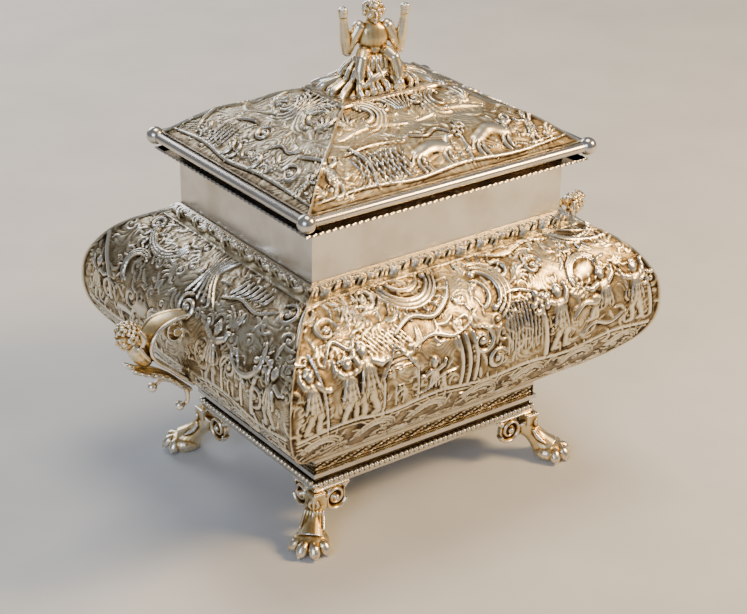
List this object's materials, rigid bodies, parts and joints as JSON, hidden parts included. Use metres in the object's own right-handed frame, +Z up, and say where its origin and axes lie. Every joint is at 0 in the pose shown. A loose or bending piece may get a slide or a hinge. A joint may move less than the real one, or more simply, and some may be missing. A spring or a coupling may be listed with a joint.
{
  "type": "silver sugar bowl",
  "caption": "Rectangular bombe sugar bowl in chased silver on a beaded plinth with paw feet, scroll handles, and a hinged domed lid with a seated figure finial.",
  "frame": {"origin": "centre of the footprint on the table, under the four paws", "axes": "+X along the long side, -Y out of the front long side, +Z up"},
  "size_m": [0.197, 0.1286, 0.1678],
  "materials": {
    "chased_silver": "repousse and chased sterling silver, oxidised in the recesses",
    "plain_silver": "hand-polished sheet silver with fine wiping scratches",
    "cast_silver": "cast and chased silver, bright on the high points, dark in the hollows",
    "gilt_silver": "fire-gilt inside",
    "brass_fittings": "turned brass fittings"
  },
  "bodies": {
    "box": {"body_panel_front": "chased_silver", "body_panel_back": "chased_silver", "body_panel_left": "chased_silver", "body_panel_right": "chased_silver", "body_floor": "gilt_silver", "neck_collar": "plain_silver", "neck_flange": "plain_silver", "shoulder_border_front": "cast_silver", "shoulder_border_back": "cast_silver", "shoulder_border_left": "cast_silver", "shoulder_border_right": "cast_silver", "plinth_band": "chased_silver", "plinth_fillet": "plain_silver", "plinth_groove": "plain_silver", "bead_wire": "plain_silver", "base_plate": "plain_silver", "foot_front_left": "cast_silver", "foot_front_right": "cast_silver", "foot_back_left": "cast_silver", "foot_back_right": "cast_silver", "handle_left": "cast_silver", "handle_right": "cast_silver", "handle_leaf_left": "cast_silver", "handle_leaf_right": "cast_silver", "hinge_body_leaf": "plain_silver", "hinge_pin": "brass_fittings"},
    "lid": {"lid_rim": "plain_silver", "lid_ball_front_left": "plain_silver", "lid_ball_front_right": "plain_silver", "lid_ball_back_left": "plain_silver", "lid_ball_back_right": "plain_silver", "lid_panel_front": "chased_silver", "lid_panel_back": "chased_silver", "lid_panel_left": "chased_silver", "lid_panel_right": "chased_silver", "lid_crown": "gilt_silver", "lid_bezel": "plain_silver", "hinge_lid_leaf": "plain_silver", "finial_mound": "cast_silver", "finial_figure": "cast_silver", "finial_stud": "brass_fittings", "finial_washer": "brass_fittings", "finial_nut": "brass_fittings"}
  },
  "joints": [
    {"name": "lid_hinge", "type": "hinge", "parent": "box", "child": "lid", "pos_m": [0, 0.0469, 0.1161], "axis": [-1, 0, 0], "range_deg": [0, 100]}
  ]
}
